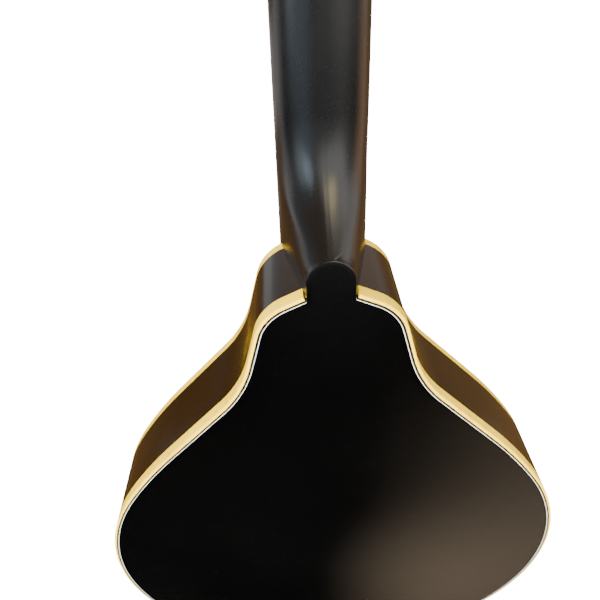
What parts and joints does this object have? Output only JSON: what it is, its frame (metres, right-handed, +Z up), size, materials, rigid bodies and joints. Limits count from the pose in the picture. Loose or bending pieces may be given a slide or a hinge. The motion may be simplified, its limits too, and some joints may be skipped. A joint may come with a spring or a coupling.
{
  "type": "mandolin",
  "caption": "Carved A-style mandolin with a black lacquered body and neck, cream binding, geared tuners, an adjustable bridge and strings under tension.",
  "frame": {"origin": "middle of the neck just under the headstock, level with the nut, where a hanger holds it", "axes": "+Z up along the body and neck, -Y out of the soundboard, +X to the treble side"},
  "size_m": [0.2536, 0.1015, 0.6832],
  "materials": {
    "back_lacquer": "gloss black lacquer",
    "rib_lacquer": "gloss lacquer, black shading into brown",
    "neck_lacquer": "satin black lacquer",
    "binding": "polished ivory-coloured binding",
    "purfling": "thin black and white lines",
    "bare_spruce": "bare, unfinished",
    "ebony": "oiled",
    "nickel": "polished nickel plating",
    "steel": "plain drawn steel",
    "pearl": "pearloid",
    "bone": "polished bone",
    "brass": "turned",
    "bronze": "round wound",
    "overlay": "gloss black lacquer"
  },
  "bodies": {
    "instrument": {"top_plate": "back_lacquer", "back_plate": "back_lacquer", "bass_rib": "rib_lacquer", "treble_rib": "rib_lacquer", "front_binding": "binding", "back_binding": "binding", "purfling": "purfling", "linings": "bare_spruce", "neck_block": "bare_spruce", "tail_block": "bare_spruce", "tone_bars": "bare_spruce", "neck": "neck_lacquer", "fingerboard": "ebony", "frets": "nickel", "fret_markers": "pearl", "nut": "bone", "headstock_overlay": "overlay", "truss_rod": "steel", "truss_cover": "ebony", "cover_screws": "nickel", "post_bushings": "nickel", "bass_tuner_plate": "nickel", "treble_tuner_plate": "nickel", "tuner_screws": "nickel", "bridge_base": "ebony", "bridge_studs": "nickel", "tailpiece_base": "nickel", "tailpiece_screws": "nickel", "end_pin": "ebony", "wound_strings": "bronze", "plain_strings": "steel"},
    "tuner_1": {"worm_shaft_1": "nickel", "tuner_knob_1": "pearl"},
    "post_1": {"string_post_1": "nickel"},
    "tuner_2": {"worm_shaft_2": "nickel", "tuner_knob_2": "pearl"},
    "post_2": {"string_post_2": "nickel"},
    "tuner_3": {"worm_shaft_3": "nickel", "tuner_knob_3": "pearl"},
    "post_3": {"string_post_3": "nickel"},
    "tuner_4": {"worm_shaft_4": "nickel", "tuner_knob_4": "pearl"},
    "post_4": {"string_post_4": "nickel"},
    "tuner_5": {"worm_shaft_5": "nickel", "tuner_knob_5": "pearl"},
    "post_5": {"string_post_5": "nickel"},
    "tuner_6": {"worm_shaft_6": "nickel", "tuner_knob_6": "pearl"},
    "post_6": {"string_post_6": "nickel"},
    "tuner_7": {"worm_shaft_7": "nickel", "tuner_knob_7": "pearl"},
    "post_7": {"string_post_7": "nickel"},
    "tuner_8": {"worm_shaft_8": "nickel", "tuner_knob_8": "pearl"},
    "post_8": {"string_post_8": "nickel"},
    "saddle": {"saddle": "ebony"},
    "bass_wheel": {"bass_thumbwheel": "nickel"},
    "treble_wheel": {"treble_thumbwheel": "nickel"},
    "tail_cover": {"tailpiece_cover": "nickel"},
    "rod_nut": {"truss_nut": "brass"}
  },
  "joints": [
    {"name": "tuner_1_turn", "type": "hinge", "parent": "instrument", "child": "tuner_1", "pos_m": [-0.03, 0.02065, 0.02768], "axis": [1, 0, 0], "continuous": true},
    {"name": "post_1_turn", "type": "hinge", "parent": "instrument", "child": "post_1", "pos_m": [-0.02, 0.00536, 0.0406], "axis": [0, -0.9483, 0.3173], "continuous": true},
    {"name": "tuner_2_turn", "type": "hinge", "parent": "instrument", "child": "tuner_2", "pos_m": [-0.03, 0.02795, 0.04949], "axis": [1, 0, 0], "continuous": true},
    {"name": "post_2_turn", "type": "hinge", "parent": "instrument", "child": "post_2", "pos_m": [-0.02, 0.01266, 0.06241], "axis": [0, -0.9483, 0.3173], "continuous": true},
    {"name": "tuner_3_turn", "type": "hinge", "parent": "instrument", "child": "tuner_3", "pos_m": [-0.03, 0.03525, 0.0713], "axis": [1, 0, 0], "continuous": true},
    {"name": "post_3_turn", "type": "hinge", "parent": "instrument", "child": "post_3", "pos_m": [-0.02, 0.01996, 0.08422], "axis": [0, -0.9483, 0.3173], "continuous": true},
    {"name": "tuner_4_turn", "type": "hinge", "parent": "instrument", "child": "tuner_4", "pos_m": [-0.03, 0.04255, 0.09311], "axis": [1, 0, 0], "continuous": true},
    {"name": "post_4_turn", "type": "hinge", "parent": "instrument", "child": "post_4", "pos_m": [-0.02, 0.02726, 0.10603], "axis": [0, -0.9483, 0.3173], "continuous": true},
    {"name": "tuner_5_turn", "type": "hinge", "parent": "instrument", "child": "tuner_5", "pos_m": [0.03, 0.02065, 0.02768], "axis": [1, 0, 0], "continuous": true},
    {"name": "post_5_turn", "type": "hinge", "parent": "instrument", "child": "post_5", "pos_m": [0.02, 0.00536, 0.0406], "axis": [0, -0.9483, 0.3173], "continuous": true},
    {"name": "tuner_6_turn", "type": "hinge", "parent": "instrument", "child": "tuner_6", "pos_m": [0.03, 0.02795, 0.04949], "axis": [1, 0, 0], "continuous": true},
    {"name": "post_6_turn", "type": "hinge", "parent": "instrument", "child": "post_6", "pos_m": [0.02, 0.01266, 0.06241], "axis": [0, -0.9483, 0.3173], "continuous": true},
    {"name": "tuner_7_turn", "type": "hinge", "parent": "instrument", "child": "tuner_7", "pos_m": [0.03, 0.03525, 0.0713], "axis": [1, 0, 0], "continuous": true},
    {"name": "post_7_turn", "type": "hinge", "parent": "instrument", "child": "post_7", "pos_m": [0.02, 0.01996, 0.08422], "axis": [0, -0.9483, 0.3173], "continuous": true},
    {"name": "tuner_8_turn", "type": "hinge", "parent": "instrument", "child": "tuner_8", "pos_m": [0.03, 0.04255, 0.09311], "axis": [1, 0, 0], "continuous": true},
    {"name": "post_8_turn", "type": "hinge", "parent": "instrument", "child": "post_8", "pos_m": [0.02, 0.02726, 0.10603], "axis": [0, -0.9483, 0.3173], "continuous": true},
    {"name": "saddle_lift", "type": "slide", "parent": "instrument", "child": "saddle", "axis": [0, -1, 0], "range_m": [-0.0015, 0.002], "deforming": ["wound_strings", "plain_strings"]},
    {"name": "bass_wheel_turn", "type": "hinge", "parent": "saddle", "child": "bass_wheel", "pos_m": [-0.032, -0.04198, -0.35567], "axis": [0, -1, 0], "range_deg": [-686, 912]},
    {"name": "treble_wheel_turn", "type": "hinge", "parent": "saddle", "child": "treble_wheel", "pos_m": [0.032, -0.04198, -0.35567], "axis": [0, -1, 0], "range_deg": [-686, 912]},
    {"name": "tail_cover_slide", "type": "slide", "parent": "instrument", "child": "tail_cover", "axis": [0, 0, -1], "range_m": [0, 0.06]},
    {"name": "rod_nut_turn", "type": "hinge", "parent": "instrument", "child": "rod_nut", "pos_m": [0, -0.00316, 0.00683], "axis": [0, 0.0958, 0.9954], "range_deg": [-180, 180]}
  ],
  "couplings": [
    {"joint": "post_1_turn", "follows": "tuner_1_turn", "ratio": -0.066667},
    {"joint": "post_2_turn", "follows": "tuner_2_turn", "ratio": -0.066667},
    {"joint": "post_3_turn", "follows": "tuner_3_turn", "ratio": -0.066667},
    {"joint": "post_4_turn", "follows": "tuner_4_turn", "ratio": -0.066667},
    {"joint": "post_5_turn", "follows": "tuner_5_turn", "ratio": 0.066667},
    {"joint": "post_6_turn", "follows": "tuner_6_turn", "ratio": 0.066667},
    {"joint": "post_7_turn", "follows": "tuner_7_turn", "ratio": 0.066667},
    {"joint": "post_8_turn", "follows": "tuner_8_turn", "ratio": 0.066667},
    {"joint": "bass_wheel_turn", "follows": "saddle_lift", "rad_per_m": 7913.3},
    {"joint": "treble_wheel_turn", "follows": "saddle_lift", "rad_per_m": 7913.3}
  ]
}
